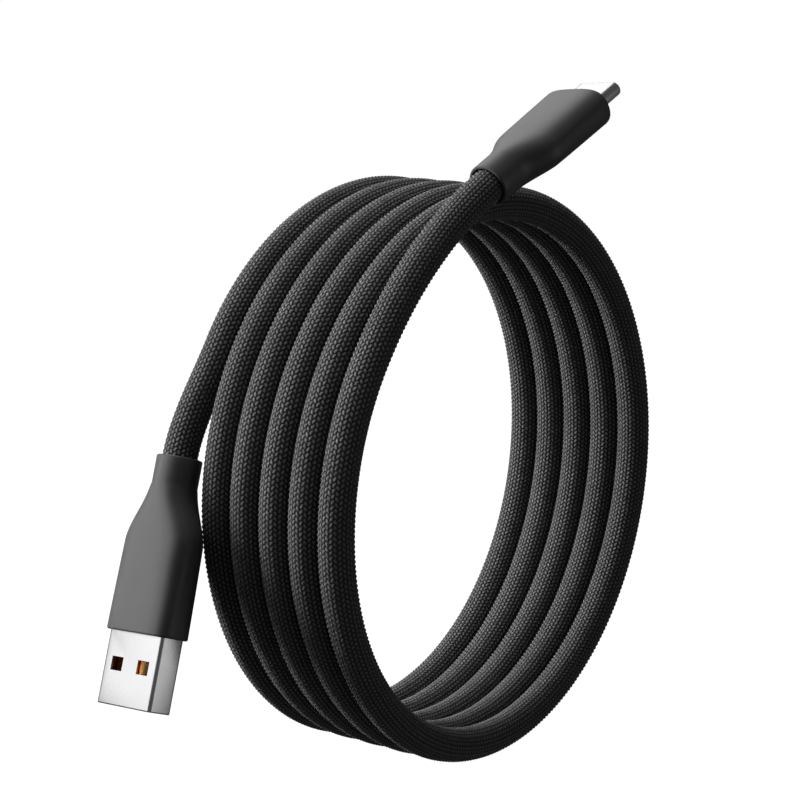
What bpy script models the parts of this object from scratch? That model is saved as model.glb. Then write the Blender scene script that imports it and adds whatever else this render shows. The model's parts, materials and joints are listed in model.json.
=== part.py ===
"""A braided USB-A to USB-C charging cable, wound into a coil one layer deep that stands on its turns.

Units are metres and +Z is up. The coil's axis is level and runs along Y. The cable starts at the
USB-A plug at the back, climbs, winds towards -Y and leaves the front turn towards the USB-C plug.
Each plug is built in its own frame: the origin at the mouth where the cable enters it, +Z towards
the tip, X across the width of the contacts and Y through the thickness.
"""

import math

import bmesh
import bpy
from mathutils import Matrix, Vector

MM = 0.001

# The cable and its coil.
CABLE_DIAMETER = 5.4 * MM
COIL_RADIUS = 43.4 * MM
TURN_PITCH = 5.6 * MM
START_ANGLE = 146.8
TRAVEL_ANGLE = 1803.8
COIL_STEPS = 72
STEP_ANGLE = 0.5
JOINT_GAP = 0.7 * MM
MOUTH_DEPTH = 3.0 * MM

# The free ends: length, how far each drifts along Y, and the heading and yaw of its plug in degrees.
TAIL_A = {"length": 18.4 * MM, "drift": 1.57 * MM, "heading": -111.1, "yaw": -3.2, "roll": 7.2}
TAIL_C = {"length": 34.0 * MM, "drift": -1.3 * MM, "heading": 25.0, "yaw": -4.0, "roll": -7.0}
TAIL_STEP = 3.0 * MM

# The hoods, moulded in one with their necks.
HOOD_A = {
    "length": 27.0 * MM,
    "neck": 7.0 * MM,
    "neck_end": 4.4 * MM,
    "body_start": 13.4 * MM,
    "width": 13.6 * MM,
    "height": 6.8 * MM,
    "corner": 2.2 * MM,
    "nose": 0.5 * MM,
    "bore_end": 9.4 * MM,
    "cavity": (12.3 * MM, 4.8 * MM, 0.5 * MM),
}
HOOD_C = {
    "length": 25.6 * MM,
    "neck": 6.9 * MM,
    "neck_end": 4.6 * MM,
    "body_start": 11.4 * MM,
    "width": 12.2 * MM,
    "height": 6.6 * MM,
    "corner": 3.1 * MM,
    "nose": 1.3 * MM,
    "bore_end": 8.6 * MM,
    "cavity": (9.6 * MM, 4.2 * MM, 1.2 * MM),
}
BORE = CABLE_DIAMETER + 0.7 * MM
CLEARANCE = 0.15 * MM
LIP = 1.4 * MM

# The hood's mouth has a small bevel, and its cavity starts a little past the swell.
MOUTH_BEVEL = {"inset": 0.2 * MM, "height": 0.25 * MM}
CAVITY_START = 1.0 * MM
NOSE_CLOSE = 0.9

# The stripped end of the cable inside each neck, and the four wires that leave it.
CORE_DIAMETER = 4.0 * MM
CORE_LENGTH = 5.0 * MM
WIRE_RADIUS = 0.42 * MM
WIRES = (("red", -1.35 * MM), ("white", -0.45 * MM), ("green", 0.45 * MM), ("black", 1.35 * MM))

# The USB-A plug's metal shell and what it holds.
SHELL_A = {
    "width": 12.0 * MM,
    "height": 4.5 * MM,
    "corner": 0.45 * MM,
    "wall": 0.3 * MM,
    "out": 11.1 * MM,
    "inside": 7.6 * MM,
}
WINDOW_SIZE = (2.5 * MM, 2.1 * MM)
WINDOW_SPREAD = 2.9 * MM
WINDOW_FROM_TIP = 6.2 * MM
TONGUE_A = {
    "width": 11.0 * MM,
    "height": 1.8 * MM,
    "set_back": 0.7 * MM,
    "tail": 1.4 * MM,
    "slope": 0.5 * MM,
}
CONTACTS_A = (("vbus", -3.5), ("d_minus", -1.0), ("d_plus", 1.0), ("gnd", 3.5))
CONTACT_A_WIDTH = 1.1 * MM
CONTACT_A_THICKNESS = 0.22 * MM
OUTER_CONTACT_SET_BACK = 1.2 * MM
INNER_CONTACT_SET_BACK = 2.2 * MM
CONTACT_A_TAIL = 1.6 * MM
MOULD_A = {"outline": (11.9 * MM, 4.5 * MM, 0.5 * MM), "wall": 0.35 * MM}
SMALL_GAP = 0.06 * MM
PART_GAP = 0.3 * MM
SOLDER_LAP = 1.2 * MM

# The USB-C plug's metal shell and what it holds.
SHELL_C = {
    "width": 8.25 * MM,
    "height": 2.4 * MM,
    "wall": 0.2 * MM,
    "out": 5.5 * MM,
    "inside": 3.2 * MM,
}
HOUSING_HALF_WIDTH = 3.1 * MM
HOUSING_HALF_HEIGHT = 0.95 * MM
PLATE = 0.3 * MM
CONTACT_PITCH = 0.5 * MM
CONTACT_C_WIDTH = 0.25 * MM
CONTACT_C_THICKNESS = 0.14 * MM
CONTACTS_C = (
    ("a1", -5.5), ("a4", -2.5), ("a5", -1.5), ("a6", -0.5), ("a7", 0.5), ("a9", 2.5), ("a12", 5.5),
    ("b12", -5.5), ("b9", -2.5), ("b5", 1.5), ("b4", 2.5), ("b1", 5.5),
)
LATCH_OFFSET = 3.45 * MM
LATCH_THICKNESS = 0.2 * MM
LATCH_HALF_HEIGHT = 0.42 * MM
LATCH_LENGTH = 5.4 * MM
LATCH_ROOT_DEPTH = 0.6 * MM
LATCH_BUMP = {"height": 0.28 * MM, "rise": 1.5 * MM, "peak": 0.8 * MM}
CONTACT_C_TAIL = 2.2 * MM
CONTACT_C_SET_BACK = 0.5 * MM
CONTACT_C_CROWN = {"height": 0.14 * MM, "rise": 1.4 * MM, "peak": 0.8 * MM}
ROW_SLOT = {"wall": 0.16 * MM, "into_plate": 0.01 * MM, "past_root": 0.5 * MM, "past_back": 1.0 * MM}
BOARD = {"width": 6.6 * MM, "length": 6.4 * MM}
RESISTOR = {"x": 1.6 * MM, "length": 1.0 * MM, "width": 0.5 * MM, "height": 0.34 * MM}
CAN = {"outline": (8.9 * MM, 3.5 * MM, 0.8 * MM), "wall": 0.25 * MM}
PAD_SPREAD = 1.3

MATERIALS = {
    "braid": ((0.030, 0.030, 0.032), 0.75, 0.0),
    "hood": ((0.075, 0.075, 0.078), 0.5, 0.0),
    "steel": ((0.78, 0.78, 0.79), 0.22, 1.0),
    "insulator": ((0.80, 0.30, 0.05), 0.5, 0.0),
    "housing": ((0.02, 0.02, 0.02), 0.5, 0.0),
    "gold": ((0.85, 0.62, 0.25), 0.28, 1.0),
    "inner_mould": ((0.80, 0.79, 0.74), 0.6, 0.0),
    "board": ((0.02, 0.16, 0.08), 0.45, 0.0),
    "resistor": ((0.03, 0.03, 0.03), 0.4, 0.0),
    "core": ((0.12, 0.12, 0.12), 0.6, 0.0),
    "wire_red": ((0.60, 0.03, 0.02), 0.45, 0.0),
    "wire_white": ((0.80, 0.80, 0.78), 0.45, 0.0),
    "wire_green": ((0.03, 0.35, 0.08), 0.45, 0.0),
    "wire_black": ((0.03, 0.03, 0.03), 0.45, 0.0),
}


# ---------------------------------------------------------------- scene helpers


def clear_scene():
    for obj in list(bpy.data.objects):
        bpy.data.objects.remove(obj, do_unlink=True)


def new_collection(name, hidden=False):
    collection = bpy.data.collections.new(name)
    collection.hide_render = hidden
    bpy.context.scene.collection.children.link(collection)
    return collection


def principled(name):
    """The named finish, made once and shared by the parts that have it."""
    found = bpy.data.materials.get(name)
    if found:
        return found
    colour, roughness, metallic = MATERIALS[name]
    made = bpy.data.materials.new(name)
    made.use_nodes = True
    shader = made.node_tree.nodes["Principled BSDF"]
    shader.inputs["Base Color"].default_value = (*colour, 1.0)
    shader.inputs["Roughness"].default_value = roughness
    shader.inputs["Metallic"].default_value = metallic
    return made


def empty(name, parent=None, matrix=None):
    made = bpy.data.objects.new(name, None)
    made.empty_display_size = 0.005
    made.parent = parent
    made.matrix_local = matrix or Matrix.Identity(4)
    PARTS.objects.link(made)
    return made


def add_part(name, mesh, finish, parent, location=(0, 0, 0)):
    mesh.materials.append(principled(finish))
    made = bpy.data.objects.new(name, mesh)
    made.parent = parent
    made.location = location
    PARTS.objects.link(made)
    return made


def mesh_from(name, bm, smooth=False):
    """Turns the bmesh into a mesh whose faces point out."""
    bmesh.ops.recalc_face_normals(bm, faces=bm.faces)
    mesh = bpy.data.meshes.new(name)
    bm.to_mesh(mesh)
    bm.free()
    if smooth:
        mesh.shade_smooth()
        mesh.set_sharp_from_angle(angle=math.radians(35))
    return mesh


# ---------------------------------------------------------------- shape helpers


def mix(a, b, share):
    return a + (b - a) * share


def ease(share):
    """An S-curve from 0 to 1."""
    share = min(max(share, 0.0), 1.0)
    return share * share * (3 - 2 * share)


def rounded_outline(width, height, corner, z, per_corner=6):
    """Points round a rectangle with round corners, at height z. Full corners make it a stadium."""
    corner = min(corner, width / 2, height / 2)
    points = []
    for quarter in range(4):
        right = 1 if quarter in (0, 3) else -1
        top = 1 if quarter in (0, 1) else -1
        centre_x = right * (width / 2 - corner)
        centre_y = top * (height / 2 - corner)
        for step in range(per_corner):
            angle = math.radians(90 * (quarter + (step + 0.5) / per_corner))
            x = centre_x + corner * math.cos(angle)
            y = centre_y + corner * math.sin(angle)
            points.append(Vector((x, y, z)))
    return points


def loft(rings, closed):
    """Quads between neighbouring rings of the same number of points. Closed joins the last ring to the
    first; otherwise both ends are capped."""
    bm = bmesh.new()
    rows = [[bm.verts.new(point) for point in ring] for ring in rings]
    count = len(rows)
    for i in range(count if closed else count - 1):
        here, there = rows[i], rows[(i + 1) % count]
        for j in range(len(here)):
            k = (j + 1) % len(here)
            bm.faces.new((here[j], here[k], there[k], there[j]))
    if not closed:
        bm.faces.new(rows[0])
        bm.faces.new(rows[-1])
    return bm


def tube_part(name, points, radius, finish, parent):
    """A round bar along the points."""
    curve = bpy.data.curves.new(name, "CURVE")
    curve.dimensions = "3D"
    curve.bevel_depth = radius
    curve.bevel_resolution = 2
    curve.use_fill_caps = True
    spline = curve.splines.new("POLY")
    spline.points.add(len(points) - 1)
    for point, place in zip(spline.points, points):
        point.co = (*place, 1.0)
    return add_part(name, curve, finish, parent)


def bar_part(name, outline, half_width, finish, parent, location=(0, 0, 0)):
    """A flat (Y, Z) outline, extruded along X by half_width each way."""
    bm = bmesh.new()
    face = bm.faces.new([bm.verts.new((-half_width, y, z)) for y, z in outline])
    grown = bmesh.ops.extrude_face_region(bm, geom=[face])
    moved = [item for item in grown["geom"] if isinstance(item, bmesh.types.BMVert)]
    bmesh.ops.translate(bm, verts=moved, vec=(2 * half_width, 0, 0))
    return add_part(name, mesh_from(name, bm), finish, parent, location)


def block_mesh(name, low, high):
    bm = bmesh.new()
    bmesh.ops.create_cube(bm, size=1.0)
    size = [b - a for a, b in zip(low, high)]
    middle = [(a + b) / 2 for a, b in zip(low, high)]
    bmesh.ops.scale(bm, vec=size, verts=bm.verts)
    bmesh.ops.translate(bm, vec=middle, verts=bm.verts)
    return mesh_from(name, bm)


def add_cutter(name, low, high, parent):
    cutter = bpy.data.objects.new(name, block_mesh(name, low, high))
    cutter.parent = parent
    cutter.hide_render = True
    cutter.display_type = "WIRE"
    CUTTERS.objects.link(cutter)
    return cutter


def cut(obj, cutter):
    modifier = obj.modifiers.new("cut " + cutter.name, "BOOLEAN")
    modifier.operation = "DIFFERENCE"
    modifier.solver = "EXACT"
    modifier.object = cutter


# ---------------------------------------------------------------- the cable's route


def travel_y(travel):
    """Where the centreline is along Y after this many degrees of winding."""
    return TURN_PITCH * (TRAVEL_ANGLE / 2 - travel) / 360


def coil_point(travel):
    angle = math.radians(START_ANGLE - travel)
    x = COIL_RADIUS * math.cos(angle)
    z = COIL_RADIUS * math.sin(angle)
    return Vector((x, travel_y(travel), z))


def tail_points(tail, travel, direction):
    """The free end's centreline from where it leaves the coil. It goes on turning the way the coil turns,
    ever less tightly, until it has its plug's heading. Direction is 1 with the winding, -1 against it."""
    place = coil_point(travel)
    start = START_ANGLE - travel - 90 * direction
    end = tail["heading"]
    start += 360 * round((end - start) / 360)
    steps = max(4, round(tail["length"] / TAIL_STEP))
    pace = tail["length"] / steps
    points = [place]
    for step in range(steps):
        heading = math.radians(mix(start, end, (step + 0.5) / steps))
        place = place + Vector((math.cos(heading), 0, math.sin(heading))) * pace
        points.append(place)
    slope = tail["length"] * math.tan(math.radians(tail["yaw"]))
    for step, point in enumerate(points):
        share = step / steps
        point.y += tail["drift"] * ease(share) + slope * (share**3 - share**2)
    return points


def plug_matrix(tail, mouth):
    """The plug's frame: Z along its heading, X across its width, turned about Z by its roll."""
    heading, yaw = math.radians(tail["heading"]), math.radians(tail["yaw"])
    level = math.cos(yaw)
    ahead = Vector((math.cos(heading) * level, math.sin(yaw), math.sin(heading) * level))
    across = (Vector((0, 1, 0)) - ahead * ahead.y).normalized()
    through = ahead.cross(across)
    axes = Matrix((across, through, ahead)).transposed().to_4x4()
    turn = Matrix.Rotation(math.radians(tail["roll"]), 4, "Z")
    return Matrix.Translation(mouth) @ axes @ turn


# ---------------------------------------------------------------- the cable


def add_coil(parent):
    """All the turns as one ring of their outer shape. Its two faces are ramps, one pitch high, because
    the turns are a helix, and each ramp ends in the step where a free end leaves."""
    radius = CABLE_DIAMETER / 2
    last = TRAVEL_ANGLE % 360
    places = [360 * i / COIL_STEPS for i in range(COIL_STEPS)]
    places += [last, last + STEP_ANGLE, 360 - STEP_ANGLE]
    rings = []
    for travel in sorted(set(places)):
        turns_after = math.floor((TRAVEL_ANGLE - travel) / 360 + 1e-9)
        back = travel_y(travel) + radius
        front = travel_y(travel + 360 * turns_after) - radius
        angle = math.radians(START_ANGLE - travel)
        outward = Vector((math.cos(angle), 0, math.sin(angle)))
        section = rounded_outline(back - front, CABLE_DIAMETER, radius, 0, per_corner=4)
        middle = outward * COIL_RADIUS + Vector((0, (back + front) / 2, 0))
        rings.append([middle + Vector((0, 1, 0)) * p.x + outward * p.y for p in section])
    mesh = mesh_from("cable_coil", loft(rings, closed=True), smooth=True)
    add_part("cable_coil", mesh, "braid", parent)


def add_tail(name, points, frame, parent):
    """The free end's tube, from just clear of the coil to a little way inside the neck's mouth."""
    first = (points[1] - points[0]).normalized()
    inside = frame @ Vector((0, 0, MOUTH_DEPTH))
    route = [points[0] + first * JOINT_GAP, *points[1:], inside]
    tube_part(name, route, CABLE_DIAMETER / 2, "braid", parent)


# ---------------------------------------------------------------- what both plugs have


def hood_outer(hood):
    """Rings down the outside: a round neck that swells into the body, which ends in a rounded nose."""
    length, nose = hood["length"], hood["nose"]
    heights = [MOUTH_BEVEL["height"], hood["neck_end"] / 2]
    swell = hood["body_start"] - hood["neck_end"]
    heights += [hood["neck_end"] + swell * i / 7 for i in range(8)]
    heights += [mix(hood["body_start"], length - nose, 0.5)]
    heights += [length - nose * (1 - math.sin(math.radians(a))) for a in (0, 30, 60)]
    mouth = hood["neck"] - 2 * MOUTH_BEVEL["inset"]
    rings = [rounded_outline(mouth, mouth, mouth / 2, 0)]
    for z in heights:
        share = ease((z - hood["neck_end"]) / swell)
        inset = 0.0
        if z > length - nose:
            depth = (z - (length - nose)) / nose
            inset = nose * (1 - math.sqrt(1 - depth * depth))
        width = mix(hood["neck"], hood["width"], share) - 2 * inset
        height = mix(hood["neck"], hood["height"], share) - 2 * inset
        corner = mix(hood["neck"] / 2, hood["corner"], share) - inset
        rings.append(rounded_outline(width, height, corner, z))
    inset = NOSE_CLOSE * nose
    width, height = hood["width"] - 2 * inset, hood["height"] - 2 * inset
    rings.append(rounded_outline(width, height, hood["corner"] - inset, length))
    return rings


def hood_inner(hood, shell, shell_corner):
    """Rings back up the inside: the lip round the shell, the cavity, and the cable's bore."""
    length = hood["length"]
    lip = (shell["width"] + 2 * CLEARANCE, shell["height"] + 2 * CLEARANCE, shell_corner)
    cavity = hood["cavity"]
    bore = (BORE, BORE, BORE / 2)
    stations = (
        (lip, length),
        (lip, length - LIP),
        (cavity, length - LIP - 0.1 * MM),
        (cavity, hood["body_start"] + CAVITY_START),
        (bore, hood["bore_end"]),
        (bore, 0.0),
    )
    return [rounded_outline(*section, z) for section, z in stations]


def add_hood(name, hood, shell, shell_corner, parent):
    rings = hood_outer(hood) + hood_inner(hood, shell, shell_corner)
    add_part(name, mesh_from(name, loft(rings, closed=True), smooth=True), "hood", parent)


def add_sleeve(name, outline, wall, low, high, finish, parent):
    """A tube of even wall between two heights. The outline is its width, height and corner radius."""
    width, height, corner = outline
    inner = (width - 2 * wall, height - 2 * wall, max(corner - wall, 0.05 * MM))
    rings = [rounded_outline(*outline, low), rounded_outline(*outline, high)]
    rings += [rounded_outline(*inner, high), rounded_outline(*inner, low)]
    return add_part(name, mesh_from(name, loft(rings, closed=True), smooth=True), finish, parent)


def add_core(prefix, parent):
    """The stripped cable inside the neck, just past the braid's end."""
    low = MOUTH_DEPTH + PART_GAP
    high = low + CORE_LENGTH
    rings = [rounded_outline(CORE_DIAMETER, CORE_DIAMETER, CORE_DIAMETER, z) for z in (low, high)]
    name = prefix + "_cable_core"
    add_part(name, mesh_from(name, loft(rings, closed=False), smooth=True), "core", parent)
    return high


def add_wires(prefix, start, ends, parent):
    """Four insulated wires that fan out from the core to their solder places."""
    begin = start + 0.1 * MM
    for (colour, x), end in zip(WIRES, ends):
        first, last = Vector((x, 0, begin)), Vector(end)
        points = []
        for i in range(6):
            share = i / 5
            side = mix(first.xy, last.xy, ease(share))
            points.append((side.x, side.y, mix(first.z, last.z, share)))
        tube_part(f"{prefix}_wire_{colour}", points, WIRE_RADIUS, "wire_" + colour, parent)


# ---------------------------------------------------------------- the USB-A plug


def add_shell_a(parent):
    """The stamped shell, open at both ends, with two square windows in each broad wall."""
    length, tip = HOOD_A["length"], HOOD_A["length"] + SHELL_A["out"]
    outline = (SHELL_A["width"], SHELL_A["height"], SHELL_A["corner"])
    rear = length - SHELL_A["inside"]
    shell = add_sleeve("usb_a_shell", outline, SHELL_A["wall"], rear, tip, "steel", parent)
    half_x, half_z = WINDOW_SIZE[0] / 2, WINDOW_SIZE[1] / 2
    z = tip - WINDOW_FROM_TIP
    for side, x in (("left", -WINDOW_SPREAD), ("right", WINDOW_SPREAD)):
        low = (x - half_x, -SHELL_A["height"], z - half_z)
        high = (x + half_x, SHELL_A["height"], z + half_z)
        cut(shell, add_cutter("window_cutter_" + side, low, high, parent))


def add_tongue_a(parent):
    """The insulator that carries the contacts. It lies against the broad wall away from the contacts."""
    tip = HOOD_A["length"] + SHELL_A["out"] - TONGUE_A["set_back"]
    rear = HOOD_A["length"] - SHELL_A["inside"] - TONGUE_A["tail"]
    top = SHELL_A["height"] / 2 - SHELL_A["wall"] - SMALL_GAP
    bottom = top - TONGUE_A["height"]
    slope = TONGUE_A["slope"]
    outline = ((bottom, rear), (top, rear), (top, tip), (bottom + slope, tip), (bottom, tip - slope))
    bar_part("usb_a_tongue", outline, TONGUE_A["width"] / 2, "insulator", parent)
    return bottom, rear, tip


def add_contacts_a(bottom, rear, tip, parent):
    """Four flat contacts on the tongue. The outer two reach nearer the tip: power connects first."""
    top = bottom - SMALL_GAP
    low = top - CONTACT_A_THICKNESS
    begin = rear - CONTACT_A_TAIL
    half = CONTACT_A_WIDTH / 2
    outermost = max(place for _, place in CONTACTS_A)
    for name, place in CONTACTS_A:
        is_outer = abs(place) == outermost
        end = tip - (OUTER_CONTACT_SET_BACK if is_outer else INNER_CONTACT_SET_BACK)
        outline = ((low, begin), (top, begin), (top, end), (mix(low, top, 0.5), end))
        bar_part("usb_a_contact_" + name, outline, half, "gold", parent, (place * MM, 0, 0))
    return low, begin


def add_usb_a(parent):
    add_hood("usb_a_hood", HOOD_A, SHELL_A, SHELL_A["corner"] + CLEARANCE, parent)
    add_shell_a(parent)
    bottom, rear, tip = add_tongue_a(parent)
    contact_low, contact_rear = add_contacts_a(bottom, rear, tip, parent)
    high = HOOD_A["length"] - SHELL_A["inside"] - PART_GAP
    low = HOOD_A["body_start"] + CAVITY_START + SMALL_GAP
    wall = MOULD_A["wall"]
    add_sleeve("usb_a_inner_mould", MOULD_A["outline"], wall, low, high, "inner_mould", parent)
    core_end = add_core("usb_a", parent)
    solder_y = contact_low - WIRE_RADIUS - SMALL_GAP
    ends = [(x * MM, solder_y, contact_rear + SOLDER_LAP) for _, x in CONTACTS_A]
    add_wires("usb_a", core_end, ends, parent)


# ---------------------------------------------------------------- the USB-C plug


def add_housing_c(parent):
    """The insulator in the mouth: two plates, one for each row of contacts, joined at the back by a block
    that the rows pass through in slots."""
    top = HOUSING_HALF_HEIGHT
    inner = top - PLATE
    front = HOOD_C["length"] + SHELL_C["out"] - PART_GAP
    root = HOOD_C["length"] + PART_GAP
    back = HOOD_C["length"] - SHELL_C["inside"] + PART_GAP
    upper_half = [(top, back), (top, front), (inner, front), (inner, root)]
    lower_half = [(-y, z) for y, z in reversed(upper_half)]
    housing = bar_part("usb_c_housing", upper_half + lower_half, HOUSING_HALF_WIDTH, "housing", parent)
    slot_half = HOUSING_HALF_WIDTH - ROW_SLOT["wall"]
    slot_outer = inner + ROW_SLOT["into_plate"]
    slot_inner = inner - CONTACT_C_THICKNESS - 3 * SMALL_GAP
    for side, name in ((1, "upper"), (-1, "lower")):
        edges = sorted((side * slot_outer, side * slot_inner))
        low = (-slot_half, edges[0], back - ROW_SLOT["past_back"])
        high = (slot_half, edges[1], root + ROW_SLOT["past_root"])
        cut(housing, add_cutter("row_cutter_" + name, low, high, parent))
    return inner - SMALL_GAP, back, front


def add_contacts_c(outer, back, front, parent):
    """Spring contacts in two rows, each a strip with a crown that presses on the port's tongue. Their
    tails straddle the board."""
    inner = outer - CONTACT_C_THICKNESS
    crown = CONTACT_C_CROWN["height"]
    begin = back - CONTACT_C_TAIL
    end = front - CONTACT_C_SET_BACK
    rise = end - CONTACT_C_CROWN["rise"]
    peak = end - CONTACT_C_CROWN["peak"]
    for name, place in CONTACTS_C:
        side = 1 if name.startswith("a") else -1
        outline = [
            (inner, begin), (outer, begin), (outer, rise), (outer - crown, peak), (outer, end),
            (inner, end), (inner - crown, peak), (inner, rise),
        ]
        outline = [(side * y, z) for y, z in outline]
        x = place * CONTACT_PITCH
        bar_part("usb_c_contact_" + name, outline, CONTACT_C_WIDTH / 2, "gold", parent, (x, 0, 0))
    return inner, begin


def add_latches(parent):
    """The two side springs that hold the plug in its port. Each has its origin on the line that it bends
    about, at its root inside the plug."""
    root_z = HOOD_C["length"] - LATCH_ROOT_DEPTH
    half = LATCH_THICKNESS / 2
    bump = LATCH_BUMP["height"]
    rise = LATCH_LENGTH - LATCH_BUMP["rise"]
    peak = LATCH_LENGTH - LATCH_BUMP["peak"]
    for side, name in ((-1, "left"), (1, "right")):
        profile = (
            (half, 0.0), (half, LATCH_LENGTH), (-half, LATCH_LENGTH),
            (-half - bump, peak), (-half, rise), (-half, 0.0),
        )
        bm = bmesh.new()
        low = -LATCH_HALF_HEIGHT
        face = bm.faces.new([bm.verts.new((side * x, low, z)) for x, z in profile])
        grown = bmesh.ops.extrude_face_region(bm, geom=[face])
        moved = [item for item in grown["geom"] if isinstance(item, bmesh.types.BMVert)]
        bmesh.ops.translate(bm, verts=moved, vec=(0, 2 * LATCH_HALF_HEIGHT, 0))
        label = "usb_c_latch_" + name
        add_part(label, mesh_from(label, bm), "steel", parent, (side * LATCH_OFFSET, 0, root_z))


def add_board(row_inner, tails, parent):
    """The small circuit board between the contacts' tails, and the resistor that tells the port what the
    cable is."""
    half_width = BOARD["width"] / 2
    half = row_inner - SMALL_GAP
    high = tails + SOLDER_LAP
    low = high - BOARD["length"]
    mesh = block_mesh("usb_c_board", (-half_width, -half, low), (half_width, half, high))
    add_part("usb_c_board", mesh, "board", parent)
    start = Vector((RESISTOR["x"], half + SMALL_GAP, mix(low, high, 0.56)))
    end = start + Vector((RESISTOR["length"], RESISTOR["height"], RESISTOR["width"]))
    add_part("usb_c_resistor", block_mesh("usb_c_resistor", start, end), "resistor", parent)
    return half, low


def add_usb_c(parent):
    length = HOOD_C["length"]
    add_hood("usb_c_hood", HOOD_C, SHELL_C, SHELL_C["height"], parent)
    outline = (SHELL_C["width"], SHELL_C["height"], SHELL_C["height"] / 2)
    tip = length + SHELL_C["out"]
    rear = length - SHELL_C["inside"]
    add_sleeve("usb_c_shell", outline, SHELL_C["wall"], rear, tip, "steel", parent)
    outer, back, front = add_housing_c(parent)
    row_inner, tails = add_contacts_c(outer, back, front, parent)
    add_latches(parent)
    board_top, board_low = add_board(row_inner, tails, parent)
    can_low = HOOD_C["body_start"] + CAVITY_START + SMALL_GAP
    can_high = rear - PART_GAP
    add_sleeve("usb_c_shield_can", CAN["outline"], CAN["wall"], can_low, can_high, "steel", parent)
    core_end = add_core("usb_c", parent)
    solder_y = board_top + WIRE_RADIUS + SMALL_GAP
    ends = [(x * PAD_SPREAD, solder_y, board_low + SOLDER_LAP) for _, x in WIRES]
    add_wires("usb_c", core_end, ends, parent)


# ---------------------------------------------------------------- the whole cable


def stand_on_origin(root):
    """Moves the whole cable so that the middle of its box's underside is the origin."""
    bpy.context.view_layer.update()
    graph = bpy.context.evaluated_depsgraph_get()
    corners = []
    for obj in PARTS.objects:
        if obj.type != "EMPTY":
            ready = obj.evaluated_get(graph)
            mesh = ready.to_mesh()
            corners += [ready.matrix_world @ vertex.co for vertex in mesh.vertices]
            ready.to_mesh_clear()
    low = [min(c[i] for c in corners) for i in range(3)]
    high = [max(c[i] for c in corners) for i in range(3)]
    root.location = (-(low[0] + high[0]) / 2, -(low[1] + high[1]) / 2, -low[2])


def main():
    root = empty("charging_cable")
    add_coil(root)
    tail_a = tail_points(TAIL_A, 0.0, -1)
    tail_c = tail_points(TAIL_C, TRAVEL_ANGLE, 1)
    frame_a = plug_matrix(TAIL_A, tail_a[-1])
    frame_c = plug_matrix(TAIL_C, tail_c[-1])
    add_tail("cable_tail_a", tail_a, frame_a, root)
    add_tail("cable_tail_c", tail_c, frame_c, root)
    add_usb_a(empty("usb_a_plug", root, frame_a))
    add_usb_c(empty("usb_c_plug", root, frame_c))
    stand_on_origin(root)


clear_scene()
PARTS = new_collection("charging_cable")
CUTTERS = new_collection("cutters", hidden=True)
main()
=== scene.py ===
"""The looks of the braided USB-A to USB-C charging cable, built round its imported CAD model.

The woven cord is one mesh that follows the CAD's route, with a raised stitch at every crossing of its
yarns. The two hoods and the two metal shells are finer versions of their CAD solids. Every other CAD
node keeps its shape and gets a material, and most get softer edges. Lengths are metres, and +Z is up.
"""

import json
import math

import bmesh
import bpy
import numpy as np
from mathutils import Matrix, Vector


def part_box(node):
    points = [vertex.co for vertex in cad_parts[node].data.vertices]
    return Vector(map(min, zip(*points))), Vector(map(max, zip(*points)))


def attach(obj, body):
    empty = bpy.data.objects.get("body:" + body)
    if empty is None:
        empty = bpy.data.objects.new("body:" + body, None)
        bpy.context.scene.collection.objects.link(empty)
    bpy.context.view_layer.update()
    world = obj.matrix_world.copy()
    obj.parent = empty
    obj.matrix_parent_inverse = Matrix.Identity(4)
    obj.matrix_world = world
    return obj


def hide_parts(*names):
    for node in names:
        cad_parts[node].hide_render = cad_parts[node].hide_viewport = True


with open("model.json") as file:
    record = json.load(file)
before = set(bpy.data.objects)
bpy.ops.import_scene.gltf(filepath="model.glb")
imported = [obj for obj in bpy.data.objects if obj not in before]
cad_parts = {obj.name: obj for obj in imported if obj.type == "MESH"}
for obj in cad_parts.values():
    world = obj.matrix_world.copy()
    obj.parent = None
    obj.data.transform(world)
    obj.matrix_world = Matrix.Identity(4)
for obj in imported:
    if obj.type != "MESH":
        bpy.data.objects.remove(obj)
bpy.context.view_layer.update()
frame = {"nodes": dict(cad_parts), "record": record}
COIL_LOW, COIL_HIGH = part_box("cable_coil")
COIL_CENTRE = (COIL_LOW + COIL_HIGH) / 2
BODY = "cable"
MM = 0.001

# The route, as in the CAD source: the coil, then each free end and the heading of its plug in degrees.
CABLE_DIAMETER = 5.4 * MM
COIL_RADIUS = 43.4 * MM
TURN_PITCH = 5.6 * MM
START_ANGLE = 146.8
TRAVEL_ANGLE = 1803.8
MOUTH_DEPTH = 3.0 * MM
TAIL_STEP = 3.0 * MM
TAIL_A = {"length": 18.4 * MM, "drift": 1.57 * MM, "heading": -111.1, "yaw": -3.2, "roll": 7.2}
TAIL_C = {"length": 34.0 * MM, "drift": -1.3 * MM, "heading": 25.0, "yaw": -4.0, "roll": -7.0}

# How many steps of the mesh's line a free end has, and how many its stretch inside the plug has.
TAIL_MESH_STEPS = 60
MOUTH_STEPS = 8

# The braid: its columns of stitches round the cord, the length of a stitch, and how far from the middle
# the tops of the stitches and the grooves beside them are.
COLUMNS = 26
STITCH_LENGTH = 0.79 * MM
STITCH_TOP = CABLE_DIAMETER / 2 + 0.06 * MM
GROOVE_FLOOR = CABLE_DIAMETER / 2 - 0.10 * MM

# A stitch in its own cell of the braid, which is 1 wide and 1 long: its lean, its half width and half
# length, how round its top is, and the fineness and weight of the filaments in it.
STITCH = {
    "lean": 0.42,
    "half_width": 0.42,
    "half_length": 0.50,
    "roundness": 0.9,
    "filaments": 44.0,
    "filament_weight": 0.07,
    "relief": 0.16 * MM,
}

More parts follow.
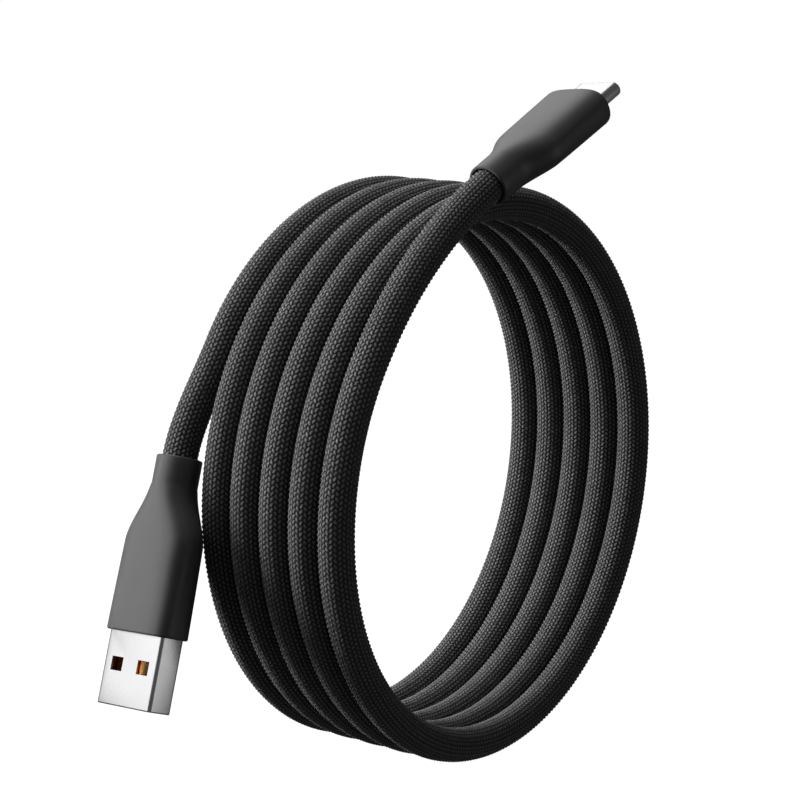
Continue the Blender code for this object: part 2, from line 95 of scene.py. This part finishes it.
# The hoods, a little fuller than in the CAD, because their section is crowned and not flat.
HOOD_A = {
    "length": 27.0 * MM,
    "neck": 7.0 * MM,
    "neck_end": 4.4 * MM,
    "body_start": 13.4 * MM,
    "width": 13.8 * MM,
    "height": 7.0 * MM,
    "squareness": (5.0, 3.2),
    "nose": 0.3 * MM,
    "bore_end": 9.4 * MM,
    "cavity": (12.3 * MM, 4.8 * MM, 0.5 * MM),
}
HOOD_C = {
    "length": 25.6 * MM,
    "neck": 6.9 * MM,
    "neck_end": 4.6 * MM,
    "body_start": 11.4 * MM,
    "width": 12.4 * MM,
    "height": 6.8 * MM,
    "squareness": (3.6, 2.5),
    "nose": 1.2 * MM,
    "bore_end": 8.6 * MM,
    "cavity": (9.6 * MM, 4.2 * MM, 1.2 * MM),
}
BORE = CABLE_DIAMETER + 0.7 * MM
CLEARANCE = 0.15 * MM
LIP = 1.4 * MM
LIP_STEP = 0.1 * MM
CAVITY_START = 1.0 * MM
MOUTH_ROUND = 0.25 * MM
NOSE_CLOSE = 0.9
SQUARING = 0.6

# The metal shells: how far they stand out of their hoods and reach into them, and their rounded front edge.
SHELL_A = {
    "width": 12.0 * MM,
    "height": 4.5 * MM,
    "corner": 0.65 * MM,
    "wall": 0.3 * MM,
    "out": 11.1 * MM,
    "inside": 7.6 * MM,
    "lead": 0.22 * MM,
}
SHELL_C = {
    "width": 8.25 * MM,
    "height": 2.4 * MM,
    "corner": 1.2 * MM,
    "wall": 0.2 * MM,
    "out": 5.5 * MM,
    "inside": 3.2 * MM,
    "lead": 0.2 * MM,
}
LEAD_SHARE = 0.55
LEAD_DEPTH = 0.08 * MM
WINDOW_SIZE = (2.5 * MM, 2.1 * MM)
WINDOW_SPREAD = 2.9 * MM
WINDOW_FROM_TIP = 6.2 * MM
FINE_EDGE = 0.03 * MM
SOFT_EDGE = 0.06 * MM
WELD_REACH = 0.001 * MM

# The angles in degrees from which an edge is drawn sharp, and from which it is softened.
SHARP_ANGLE = 40
WINDOW_SHARP_ANGLE = 30
SOFTEN_ANGLE = 35

# The stage and the camera. The camera's aim is from the coil's centre, to the right and up in its view.
STAGE_SIZE = 12.0
VIEW_AZIMUTH = -53.07
VIEW_ELEVATION = 11.83
CAMERA_DISTANCE = 377.5 * MM
CAMERA_AIM = (-6.13 * MM, 10.59 * MM)
CAMERA_LENS = 104.45
LAMP_DISTANCE = 0.7
CARD_DISTANCE = 0.5


# ---------------------------------------------------------------- the cord's route and the plugs' frames


def mix(a, b, share):
    return a + (b - a) * share


def ease(share):
    """An S-curve from 0 to 1."""
    share = min(max(share, 0.0), 1.0)
    return share * share * (3 - 2 * share)


def coil_point(travel):
    """The cord's centreline after this many degrees of winding."""
    angle = math.radians(START_ANGLE - travel)
    x = COIL_RADIUS * math.cos(angle)
    y = TURN_PITCH * (TRAVEL_ANGLE / 2 - travel) / 360
    return COIL_CENTRE + Vector((x, y, COIL_RADIUS * math.sin(angle)))


def tail_points(tail, travel, direction, steps):
    """A free end's centreline from where it leaves the coil. It goes on turning the way the coil turns,
    ever less tightly, until it has its plug's heading. Direction is 1 with the winding, -1 against it."""
    place = coil_point(travel)
    start = START_ANGLE - travel - 90 * direction
    end = tail["heading"]
    start += 360 * round((end - start) / 360)
    pace = tail["length"] / steps
    points = [place]
    for step in range(steps):
        heading = math.radians(mix(start, end, (step + 0.5) / steps))
        place = place + Vector((math.cos(heading), 0, math.sin(heading))) * pace
        points.append(place)
    slope = tail["length"] * math.tan(math.radians(tail["yaw"]))
    for step, point in enumerate(points):
        share = step / steps
        point.y += tail["drift"] * ease(share) + slope * (share**3 - share**2)
    return points


def plug_matrix(tail, travel, direction):
    """The plug's frame: its origin at the mouth, Z along its heading, X across its width."""
    steps = max(4, round(tail["length"] / TAIL_STEP))
    mouth = tail_points(tail, travel, direction, steps)[-1]
    heading, yaw = math.radians(tail["heading"]), math.radians(tail["yaw"])
    level = math.cos(yaw)
    ahead = Vector((math.cos(heading) * level, math.sin(yaw), math.sin(heading) * level))
    across = (Vector((0, 1, 0)) - ahead * ahead.y).normalized()
    through = ahead.cross(across)
    axes = Matrix((across, through, ahead)).transposed().to_4x4()
    turn = Matrix.Rotation(math.radians(tail["roll"]), 4, "Z")
    return Matrix.Translation(mouth) @ axes @ turn


def free_end(tail, travel, direction, plug):
    """The free end's line in short steps, to its plug's mouth and then a little way inside it. The plug's
    mouth was found in longer steps, so the line is eased over the small miss."""
    points = tail_points(tail, travel, direction, TAIL_MESH_STEPS)
    miss = plug.translation - points[-1]
    points = [point + miss * (i / TAIL_MESH_STEPS) ** 2 for i, point in enumerate(points)]
    depths = [MOUTH_DEPTH * (i + 1) / MOUTH_STEPS for i in range(MOUTH_STEPS)]
    return points + [plug @ Vector((0, 0, depth)) for depth in depths]


def cord_line(plug_a, plug_c):
    """The whole centreline as an array, with a point for every half stitch."""
    turns = [coil_point(travel) for travel in np.arange(1.0, TRAVEL_ANGLE, 1.0)]
    points = free_end(TAIL_A, 0.0, -1, plug_a)[::-1] + turns + free_end(TAIL_C, TRAVEL_ANGLE, 1, plug_c)
    line = np.array(points)
    along = np.concatenate([[0.0], np.cumsum(np.linalg.norm(np.diff(line, axis=0), axis=1))])
    count = round(along[-1] / (STITCH_LENGTH / 2))
    places = np.linspace(0.0, along[-1], count + 1)
    return np.stack([np.interp(places, along, line[:, axis]) for axis in range(3)], axis=1)


# ---------------------------------------------------------------- materials


class Nodes:
    """A material's node tree, with short ways to add to it."""

    def __init__(self, name):
        self.material = bpy.data.materials.new(name)
        self.material.use_nodes = True
        self.tree = self.material.node_tree
        self.shader = self.tree.nodes["Principled BSDF"]

    def add(self, kind, inputs=None, **settings):
        made = self.tree.nodes.new(kind)
        for key, value in settings.items():
            setattr(made, key, value)
        for key, value in (inputs or {}).items():
            self.put(made.inputs[key], value)
        return made

    def put(self, socket, value):
        if isinstance(value, bpy.types.NodeSocket):
            self.tree.links.new(value, socket)
        else:
            socket.default_value = value

    def math(self, operation, a, b=0.0, clamp=False):
        return self.add("ShaderNodeMath", {0: a, 1: b}, operation=operation, use_clamp=clamp).outputs[0]

    def noise(self, vector, scale, detail=3.0):
        inputs = {"Vector": vector, "Scale": scale, "Detail": detail}
        return self.add("ShaderNodeTexNoise", inputs).outputs["Fac"]

    def spread(self, value, low, high):
        """Value from 0..1 to low..high."""
        return self.add("ShaderNodeMapRange", {"Value": value, "To Min": low, "To Max": high}).outputs[0]

    def blend(self, share, first, second):
        made = self.add("ShaderNodeMix", data_type="RGBA")
        self.put(made.inputs[0], share)
        self.put(made.inputs[6], first)
        self.put(made.inputs[7], second)
        return made.outputs[2]

    def bump(self, height, depth, strength=1.0):
        inputs = {"Height": height, "Distance": depth, "Strength": strength}
        normal = self.add("ShaderNodeBump", inputs).outputs[0]
        self.tree.links.new(normal, self.shader.inputs["Normal"])

    def set(self, **values):
        for name, value in values.items():
            self.put(self.shader.inputs[name.replace("_", " ")], value)
        return self.material


def grey(value):
    return (value, value, value * 1.01, 1.0)


def braid_material():
    """Polyester yarn in a herringbone: the stitches of one column lean one way, and those of the next the
    other way. The UV map counts columns across and stitches along."""
    nodes = Nodes("braided_yarn")
    at = nodes.add("ShaderNodeUVMap", uv_map="braid").outputs["UV"]
    parts = nodes.add("ShaderNodeSeparateXYZ", {0: at})
    column, row = parts.outputs[0], parts.outputs[1]
    odd = nodes.math("MODULO", nodes.math("FLOOR", column), 2.0)
    lean = nodes.math("SUBTRACT", nodes.math("MULTIPLY", odd, 2.0), 1.0)
    shifted = nodes.math("ADD", nodes.math("ADD", row, 0.5), nodes.math("MULTIPLY", odd, 0.5))
    across = nodes.math("SUBTRACT", nodes.math("FRACT", column), 0.5)
    down = nodes.math("SUBTRACT", nodes.math("FRACT", shifted), 0.5)
    slant = nodes.math("MULTIPLY", nodes.math("MULTIPLY", down, lean), STITCH["lean"])
    tilted = nodes.math("ADD", across, slant)
    sideways = nodes.math("POWER", nodes.math("DIVIDE", tilted, STITCH["half_width"]), 2.0)
    endways = nodes.math("POWER", nodes.math("DIVIDE", down, STITCH["half_length"]), 2.0)
    stitch = nodes.math("SUBTRACT", 1.0, nodes.math("ADD", sideways, endways), clamp=True)
    crown = nodes.math("POWER", stitch, STITCH["roundness"])

    filaments = nodes.math("SINE", nodes.math("MULTIPLY", tilted, STITCH["filaments"]))
    cell = {0: nodes.math("FLOOR", column), 1: nodes.math("FLOOR", shifted)}
    places = nodes.add("ShaderNodeCombineXYZ", cell)
    chance = nodes.add("ShaderNodeTexWhiteNoise", {"Vector": places.outputs[0]}).outputs["Value"]
    own = nodes.add("ShaderNodeTexCoord").outputs["Object"]
    patches = nodes.noise(own, 90.0)
    stitch_tone_and_painted_light = nodes.math("MULTIPLY", nodes.spread(chance, 0.75, 1.2), nodes.spread(patches, 0.8, 1.2))
    # Painted light: the colour follows each stitch's crown. The crowns are painted lighter as a painted
    # highlight, and the grooves between stitches are painted near black as painted shade. This sits on top
    # of the random tone that varies from stitch to stitch and patch to patch.
    stitch_tone_and_painted_light = nodes.math("MULTIPLY", stitch_tone_and_painted_light, crown)
    # Groove colour is painted shade, and crown colour is painted highlight.
    colour = nodes.blend(stitch_tone_and_painted_light, grey(0.004), grey(0.155))
    ridges = nodes.math("MULTIPLY", filaments, STITCH["filament_weight"])
    nodes.bump(nodes.math("ADD", crown, ridges), STITCH["relief"])
    roughness = nodes.spread(crown, 0.8, 0.48)
    nodes.shader.inputs["Sheen Weight"].default_value = 0.15
    nodes.shader.inputs["Sheen Roughness"].default_value = 0.4
    return nodes.set(Base_Color=colour, Roughness=roughness)


def shades(colour, dark, light):
    """The colour made darker and lighter by these factors."""
    return [tuple(min(c * factor, 1.0) for c in colour[:3]) + (1.0,) for factor in (dark, light)]


def moulded(name, colour, roughness, grain=0.02 * MM):
    """Moulded plastic: a fine spark-eroded grain, and faint cloudiness in its colour and gloss."""
    nodes = Nodes(name)
    own = nodes.add("ShaderNodeTexCoord").outputs["Object"]
    clouds = nodes.noise(own, 240.0)
    fine = nodes.noise(own, 9000.0, detail=2.0)
    dark, light = shades(colour, 0.88, 1.12)
    nodes.bump(fine, grain)
    return nodes.set(
        Base_Color=nodes.blend(clouds, dark, light),
        Roughness=nodes.spread(clouds, roughness - 0.05, roughness + 0.06),
    )


def metal(name, colour, roughness):
    """Stamped and plated metal, with faint drawing lines along one direction and cloudier patches."""
    nodes = Nodes(name)
    own = nodes.add("ShaderNodeTexCoord").outputs["Object"]
    drawn = nodes.add("ShaderNodeMapping", {"Vector": own, "Scale": (1.0, 1.0, 0.06)}).outputs[0]
    scratches = nodes.noise(drawn, 5200.0, detail=2.0)
    clouds = nodes.noise(own, 320.0)
    worn = nodes.math("ADD", nodes.math("MULTIPLY", scratches, 0.5), nodes.math("MULTIPLY", clouds, 0.5))
    dark, light = shades(colour, 0.93, 1.0)
    nodes.bump(scratches, 0.001 * MM, strength=0.6)
    nodes.shader.inputs["Metallic"].default_value = 1.0
    return nodes.set(
        Base_Color=nodes.blend(clouds, dark, light),
        Roughness=nodes.spread(worn, roughness - 0.06, roughness + 0.1),
    )


def finishes():
    """Every slot's material, by the record's name for it."""
    made = {
        "braid": braid_material(),
        "hood": moulded("hood_plastic", grey(0.060), 0.43),
        "steel": metal("plated_steel", (0.80, 0.80, 0.81, 1.0), 0.27),
        "insulator": moulded("orange_insulator", (0.72, 0.20, 0.025, 1.0), 0.42, grain=0.008 * MM),
        "housing": moulded("black_insulator", grey(0.014), 0.4, grain=0.008 * MM),
        "gold": metal("gold_plating", (0.90, 0.63, 0.24, 1.0), 0.24),
        "inner_mould": moulded("inner_mould", (0.76, 0.74, 0.66, 1.0), 0.55),
        "board": moulded("solder_resist", (0.012, 0.13, 0.055, 1.0), 0.34, grain=0.004 * MM),
        "resistor": moulded("chip_resistor", grey(0.016), 0.3, grain=0.004 * MM),
        "core": moulded("inner_jacket", grey(0.05), 0.6),
    }
    wires = {
        "red": (0.55, 0.02, 0.015, 1.0),
        "white": (0.78, 0.78, 0.76, 1.0),
        "green": (0.02, 0.30, 0.06, 1.0),
        "black": (0.02, 0.02, 0.02, 1.0),
    }
    for name, colour in wires.items():
        made["wire_" + name] = moulded("insulation_" + name, colour, 0.38, grain=0.006 * MM)
    return made


# ---------------------------------------------------------------- meshes


def outline(width, height, corner, z, per_corner=20):
    """Points round a rectangle with round corners, at height z. Full corners make it a stadium."""
    corner = max(min(corner, width / 2, height / 2), 0.01 * MM)
    points = []
    for quarter in range(4):
        right = 1 if quarter in (0, 3) else -1
        top = 1 if quarter in (0, 1) else -1
        middle_x = right * (width / 2 - corner)
        middle_y = top * (height / 2 - corner)
        for step in range(per_corner):
            angle = math.radians(90 * (quarter + (step + 0.5) / per_corner))
            x = middle_x + corner * math.cos(angle)
            y = middle_y + corner * math.sin(angle)
            points.append(Vector((x, y, z)))
    return points


def crowned_outline(width, height, squareness, z, count=80):
    """Points round an oval at height z. Squareness (2, 2) is an ellipse, and more is nearer a box."""
    points = []
    for step in range(count):
        turn = 2 * math.pi * (step + 0.5) / count
        reach_x = width / 2 * abs(math.cos(turn)) ** (2 / squareness[0])
        reach_y = height / 2 * abs(math.sin(turn)) ** (2 / squareness[1])
        x = math.copysign(reach_x, math.cos(turn))
        y = math.copysign(reach_y, math.sin(turn))
        points.append(Vector((x, y, z)))
    return points


def closed_loft(name, rings, matrix):
    """Quads from each ring to the next and from the last to the first, in the plug's frame."""
    bm = bmesh.new()
    rows = [[bm.verts.new(matrix @ point) for point in ring] for ring in rings]
    for i, here in enumerate(rows):
        there = rows[(i + 1) % len(rows)]
        for j in range(len(here)):
            k = (j + 1) % len(here)
            bm.faces.new((here[j], here[k], there[k], there[j]))
    bmesh.ops.recalc_face_normals(bm, faces=bm.faces)
    mesh = bpy.data.meshes.new(name)
    bm.to_mesh(mesh)
    bm.free()
    mesh.shade_smooth()
    mesh.set_sharp_from_angle(angle=math.radians(SHARP_ANGLE))
    made = bpy.data.objects.new(name, mesh)
    bpy.context.scene.collection.objects.link(made)
    return made


def cut_box(target, low, high, matrix):
    """Cuts a box, given in the plug's frame, out of the target."""
    bm = bmesh.new()
    bmesh.ops.create_cube(bm, size=1.0)
    bmesh.ops.scale(bm, vec=[b - a for a, b in zip(low, high)], verts=bm.verts)
    bmesh.ops.translate(bm, vec=[(a + b) / 2 for a, b in zip(low, high)], verts=bm.verts)
    bmesh.ops.transform(bm, matrix=matrix, verts=bm.verts)
    mesh = bpy.data.meshes.new("cutter")
    bm.to_mesh(mesh)
    bm.free()
    cutter = bpy.data.objects.new("cutter", mesh)
    bpy.context.scene.collection.objects.link(cutter)
    modifier = target.modifiers.new("cut", "BOOLEAN")
    modifier.operation = "DIFFERENCE"
    modifier.solver = "EXACT"
    modifier.object = cutter
    apply_modifiers(target)
    bpy.data.objects.remove(cutter, do_unlink=True)


def apply_modifiers(target):
    ready = target.evaluated_get(bpy.context.evaluated_depsgraph_get())
    mesh = bpy.data.meshes.new_from_object(ready)
    target.modifiers.clear()
    target.data = mesh


def soften(target, width):
    """Rounds the target's sharp edges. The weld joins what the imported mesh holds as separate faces."""
    weld = target.modifiers.new("weld", "WELD")
    weld.merge_threshold = WELD_REACH
    bevel = target.modifiers.new("soft edges", "BEVEL")
    bevel.width = width
    bevel.segments = 2
    bevel.limit_method = "ANGLE"
    bevel.angle_limit = math.radians(SOFTEN_ANGLE)
    bevel.use_clamp_overlap = True
    normals = target.modifiers.new("even shading", "WEIGHTED_NORMAL")
    normals.keep_sharp = True


# ---------------------------------------------------------------- the woven cord


def cord_mesh(line):
    """A tube whose points are the stitches' tops and the grooves between them, in turn. The UV map counts
    columns across and stitches along."""
    ahead = np.gradient(line, axis=0)
    ahead /= np.linalg.norm(ahead, axis=1)[:, None]
    level = np.array([0.0, 1.0, 0.0])
    side = level - ahead * (ahead @ level)[:, None]
    side /= np.linalg.norm(side, axis=1)[:, None]
    over = np.cross(ahead, side)
    angles = 2 * np.pi * np.arange(COLUMNS) / COLUMNS
    rings = len(line)
    raised = (np.arange(rings)[:, None] + np.arange(COLUMNS)[None]) % 2 == 0
    reach = np.where(raised, STITCH_TOP, GROOVE_FLOOR)[..., None]
    spokes = side[:, None] * np.cos(angles)[None, :, None] + over[:, None] * np.sin(angles)[None, :, None]
    points = (line[:, None] + spokes * reach).reshape(-1, 3)

    ring, column = np.meshgrid(np.arange(rings - 1), np.arange(COLUMNS), indexing="ij")
    after = (column + 1) % COLUMNS
    here, there = ring * COLUMNS, (ring + 1) * COLUMNS
    quads = np.stack([here + column, here + after, there + after, there + column], axis=-1).reshape(-1, 4)
    flip = raised[:-1].reshape(-1)
    quads[flip] = np.roll(quads[flip], 1, axis=1)
    faces = quads.tolist()
    faces += [list(range(COLUMNS))[::-1], list(range((rings - 1) * COLUMNS, rings * COLUMNS))]

    mesh = bpy.data.meshes.new("braided_cord")
    mesh.from_pydata(points.tolist(), [], faces)
    left, right = column + 0.5, column + 1.5
    near, far = ring / 2, (ring + 1) / 2
    pairs = ((left, near), (right, near), (right, far), (left, far))
    corners = [np.stack(pair, axis=-1) for pair in pairs]
    places = np.stack(corners, axis=2).reshape(-1, 4, 2)
    places[flip] = np.roll(places[flip], 1, axis=1)
    uv = mesh.uv_layers.new(name="braid")
    values = np.zeros((len(mesh.loops), 2))
    values[: len(places) * 4] = places.reshape(-1, 2)
    uv.data.foreach_set("uv", values.ravel())
    mesh.shade_smooth()
    return mesh


def add_cord(plug_a, plug_c, finish):
    line = cord_line(plug_a, plug_c)
    cord = bpy.data.objects.new("braided_cord", cord_mesh(line))
    bpy.context.scene.collection.objects.link(cord)
    dress(cord, finish, ("cable_coil", "cable_tail_a", "cable_tail_c"))
    length = float(np.linalg.norm(np.diff(line, axis=0), axis=1).sum())
    return cord, line, length


# ---------------------------------------------------------------- hoods and shells


def hood_profile(hood):
    """Heights down the hood's outside, closer together where it curves."""
    swell = hood["body_start"] - hood["neck_end"]
    heights = [MOUTH_ROUND * (1 - math.cos(math.radians(a))) for a in (30, 60, 90)]
    heights += [hood["neck_end"] * share for share in (0.3, 0.6, 0.85)]
    heights += [hood["neck_end"] + swell * i / 28 for i in range(29)]
    nose_start = hood["length"] - hood["nose"]
    heights += [mix(hood["body_start"], nose_start, share) for share in (0.15, 0.5, 0.85)]
    arc = [math.sin(math.radians(a)) for a in range(0, 66, 8)]
    return heights + [hood["length"] - hood["nose"] * (1 - share) for share in arc]


def hood_section(hood, z):
    """The hood's width, height and squareness at this height."""
    share = ease((z - hood["neck_end"]) / (hood["body_start"] - hood["neck_end"]))
    inset = 0.0
    start = hood["length"] - hood["nose"]
    if z > start:
        depth = (z - start) / hood["nose"]
        inset = hood["nose"] * (1 - math.sqrt(1 - depth * depth))
    if z < MOUTH_ROUND:
        depth = 1 - z / MOUTH_ROUND
        inset = MOUTH_ROUND * (1 - math.sqrt(1 - depth * depth))
    width = mix(hood["neck"], hood["width"], share) - 2 * inset
    height = mix(hood["neck"], hood["height"], share) - 2 * inset
    along = max(z - hood["neck_end"], 0.0) / (hood["length"] - hood["neck_end"])
    squareness = tuple(mix(2.0, full, along**SQUARING) for full in hood["squareness"])
    return width, height, squareness


def add_hood(name, hood, shell, plug, finish, node):
    """The moulded hood: round neck, S-curved swell, body and rounded nose, then back up the inside."""
    mouth = hood["neck"] - 2 * MOUTH_ROUND
    rings = [crowned_outline(mouth, mouth, (2.0, 2.0), 0)]
    rings += [crowned_outline(*hood_section(hood, z), z) for z in hood_profile(hood)]
    end = [hood[side] - 2 * NOSE_CLOSE * hood["nose"] for side in ("width", "height")]
    rings.append(crowned_outline(*end, hood["squareness"], hood["length"]))
    lip = (shell["width"] + 2 * CLEARANCE, shell["height"] + 2 * CLEARANCE, shell["corner"] + CLEARANCE)
    bore = (BORE, BORE, BORE)
    inside = (
        (lip, hood["length"]),
        (lip, hood["length"] - LIP),
        (hood["cavity"], hood["length"] - LIP - LIP_STEP),
        (hood["cavity"], hood["body_start"] + CAVITY_START),
        (bore, hood["bore_end"]),
        (bore, 0.0),
    )
    rings += [outline(*section, z) for section, z in inside]
    made = closed_loft(name, rings, plug)
    dress(made, finish, (node,))
    return made


def shell_rings(shell, hood, per_corner):
    """Out along the outside of the shell, over its rounded front edge and back along the inside."""
    low, tip = hood["length"] - shell["inside"], hood["length"] + shell["out"]
    lead, wall = shell["lead"], shell["wall"]
    stations = [(low, 0.0), (hood["length"], 0.0), (tip - lead, 0.0)]
    for angle in (25, 50, 70, 90):
        turn = math.radians(angle)
        z = tip - lead * (1 - math.sin(turn))
        stations.append((z, LEAD_SHARE * wall * (1 - math.cos(turn))))
    stations += [(tip - LEAD_DEPTH, wall), (low, wall)]
    rings = []
    for z, inset in stations:
        size = shell["width"] - 2 * inset, shell["height"] - 2 * inset
        rings.append(outline(*size, shell["corner"] - inset, z, per_corner))
    return rings


def add_shell_a(plug, finish):
    shell = closed_loft("usb_a_metal_shell", shell_rings(SHELL_A, HOOD_A, 10), plug)
    middle = HOOD_A["length"] + SHELL_A["out"] - WINDOW_FROM_TIP
    half_x, half_z = WINDOW_SIZE[0] / 2, WINDOW_SIZE[1] / 2
    for x in (-WINDOW_SPREAD, WINDOW_SPREAD):
        low = (x - half_x, -SHELL_A["height"], middle - half_z)
        high = (x + half_x, SHELL_A["height"], middle + half_z)
        cut_box(shell, low, high, plug)
    shell.data.shade_smooth()
    shell.data.set_sharp_from_angle(angle=math.radians(WINDOW_SHARP_ANGLE))
    dress(shell, finish, ("usb_a_shell",))
    return shell


def add_shell_c(plug, finish):
    shell = closed_loft("usb_c_metal_shell", shell_rings(SHELL_C, HOOD_C, 24), plug)
    dress(shell, finish, ("usb_c_shell",))
    return shell


def dress(piece, finish, nodes):
    """Gives a new piece its material, hides the CAD nodes that it stands for and ties it to the body that
    it moves with.
    """
    piece.data.materials.clear()
    piece.data.materials.append(finish)
    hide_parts(*nodes)
    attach(piece, BODY)


def dress_cad_nodes(finish):
    """The CAD nodes that stay get their slot's material. All but the wires and jackets get softer edges."""
    for row in frame["record"]["subparts"]:
        node = frame["nodes"][row["node"]]
        if node.hide_render:
            continue
        node.data.materials.clear()
        node.data.materials.append(finish[row["material_slot"]])
        if "contact" in node.name or "latch" in node.name:
            soften(node, FINE_EDGE)
        elif "wire" not in node.name and "core" not in node.name:
            soften(node, SOFT_EDGE)


# ---------------------------------------------------------------- studio


def view_axes(azimuth, elevation):
    """The directions right, up and back of a level camera."""
    turn, tilt = math.radians(azimuth), math.radians(elevation)
    level = math.cos(tilt)
    back = Vector((math.sin(turn) * level, -math.cos(turn) * level, math.sin(tilt)))
    right = Vector((math.cos(turn), math.sin(turn), 0.0))
    return right, back.cross(right), back


VIEW = view_axes(VIEW_AZIMUTH, VIEW_ELEVATION)


def paper(name):
    """Plain pale studio paper with a glow of its own, so that it stays even from every side."""
    nodes = Nodes(name)
    nodes.shader.inputs["Roughness"].default_value = 1.0
    nodes.shader.inputs["Specular IOR Level"].default_value = 0.0
    nodes.shader.inputs["Emission Color"].default_value = grey(1.0)
    nodes.shader.inputs["Emission Strength"].default_value = 1.0
    return nodes.set(Base_Color=grey(0.08))


def add_backdrop(name, bm):
    """A stage piece that the camera sees, and that puts no light or reflection on the object."""
    mesh = bpy.data.meshes.new(name)
    bm.to_mesh(mesh)
    bm.free()
    mesh.materials.append(paper(name + "_paper"))
    made = bpy.data.objects.new(name, mesh)
    bpy.context.scene.collection.objects.link(made)
    made.visible_diffuse = False
    made.visible_glossy = False
    made.visible_shadow = False


def add_stage():
    """A wide floor and a round wall about it."""
    floor = bmesh.new()
    bmesh.ops.create_grid(floor, x_segments=1, y_segments=1, size=STAGE_SIZE)
    add_backdrop("studio_floor", floor)
    wall = bmesh.new()
    bmesh.ops.create_uvsphere(wall, u_segments=48, v_segments=24, radius=STAGE_SIZE)
    add_backdrop("studio_wall", wall)


def add_softbox(name, direction, side, radiance, card=False):
    """A soft square lamp that faces the coil. Direction is (right, up, back) as the camera has them. A card
    is only mirrored, and the other lamps only light."""
    right, up, back = VIEW
    away = (right * direction[0] + up * direction[1] + back * direction[2]).normalized()
    light = bpy.data.lights.new(name, "AREA")
    light.shape = "SQUARE"
    light.size = side
    light.energy = radiance * math.pi * side**2
    lamp = bpy.data.objects.new(name, light)
    lamp.location = COIL_CENTRE + away * (CARD_DISTANCE if card else LAMP_DISTANCE)
    lamp.rotation_mode = "QUATERNION"
    lamp.rotation_quaternion = (-away).to_track_quat("-Z", "Y")
    lamp.visible_glossy = card
    lamp.visible_diffuse = not card
    bpy.context.scene.collection.objects.link(lamp)


def add_camera():
    right, up, back = VIEW
    aim = COIL_CENTRE + right * CAMERA_AIM[0] + up * CAMERA_AIM[1]
    camera = bpy.data.objects.new("camera", bpy.data.cameras.new("camera"))
    camera.data.lens = CAMERA_LENS
    camera.data.sensor_width = 36.0
    camera.data.clip_start = 0.01
    camera.location = aim + back * CAMERA_DISTANCE
    camera.rotation_mode = "QUATERNION"
    camera.rotation_quaternion = (-back).to_track_quat("-Z", "Y")
    bpy.context.scene.collection.objects.link(camera)
    bpy.context.scene.camera = camera


def add_lamps():
    """Strong side light from the left and weaker light from above shape the cord. The metal and the moulded
    plastic mirror three dim cards."""
    add_softbox("key", (-1.0, 0.3, -0.12), side=0.35, radiance=35.0)
    add_softbox("top", (-0.4, 0.95, 0.15), side=0.4, radiance=7.0)
    add_softbox("left_card", (-0.9, 0.3, 0.3), side=0.48, radiance=1.25, card=True)
    add_softbox("top_card", (-0.28, 0.86, -0.44), side=0.4, radiance=1.35, card=True)
    add_softbox("right_card", (0.9, -0.1, 0.3), side=0.35, radiance=0.6, card=True)
    world = bpy.data.worlds.new("studio")
    world.use_nodes = True
    world.node_tree.nodes["Background"].inputs["Color"].default_value = grey(1.0)
    world.node_tree.nodes["Background"].inputs["Strength"].default_value = 0.07
    bpy.context.scene.world = world
    bpy.context.scene.view_settings.view_transform = "Standard"


# ---------------------------------------------------------------- the whole cable


def main():
    finish = finishes()
    plug_a = plug_matrix(TAIL_A, 0.0, -1)
    plug_c = plug_matrix(TAIL_C, TRAVEL_ANGLE, 1)
    cord, line, length = add_cord(plug_a, plug_c, finish["braid"])
    hood_a = add_hood("usb_a_moulded_hood", HOOD_A, SHELL_A, plug_a, finish["hood"], "usb_a_hood")
    hood_c = add_hood("usb_c_moulded_hood", HOOD_C, SHELL_C, plug_c, finish["hood"], "usb_c_hood")
    shell_a = add_shell_a(plug_a, finish["steel"])
    shell_c = add_shell_c(plug_c, finish["steel"])
    dress_cad_nodes(finish)
    add_stage()
    add_lamps()
    add_camera()


main()
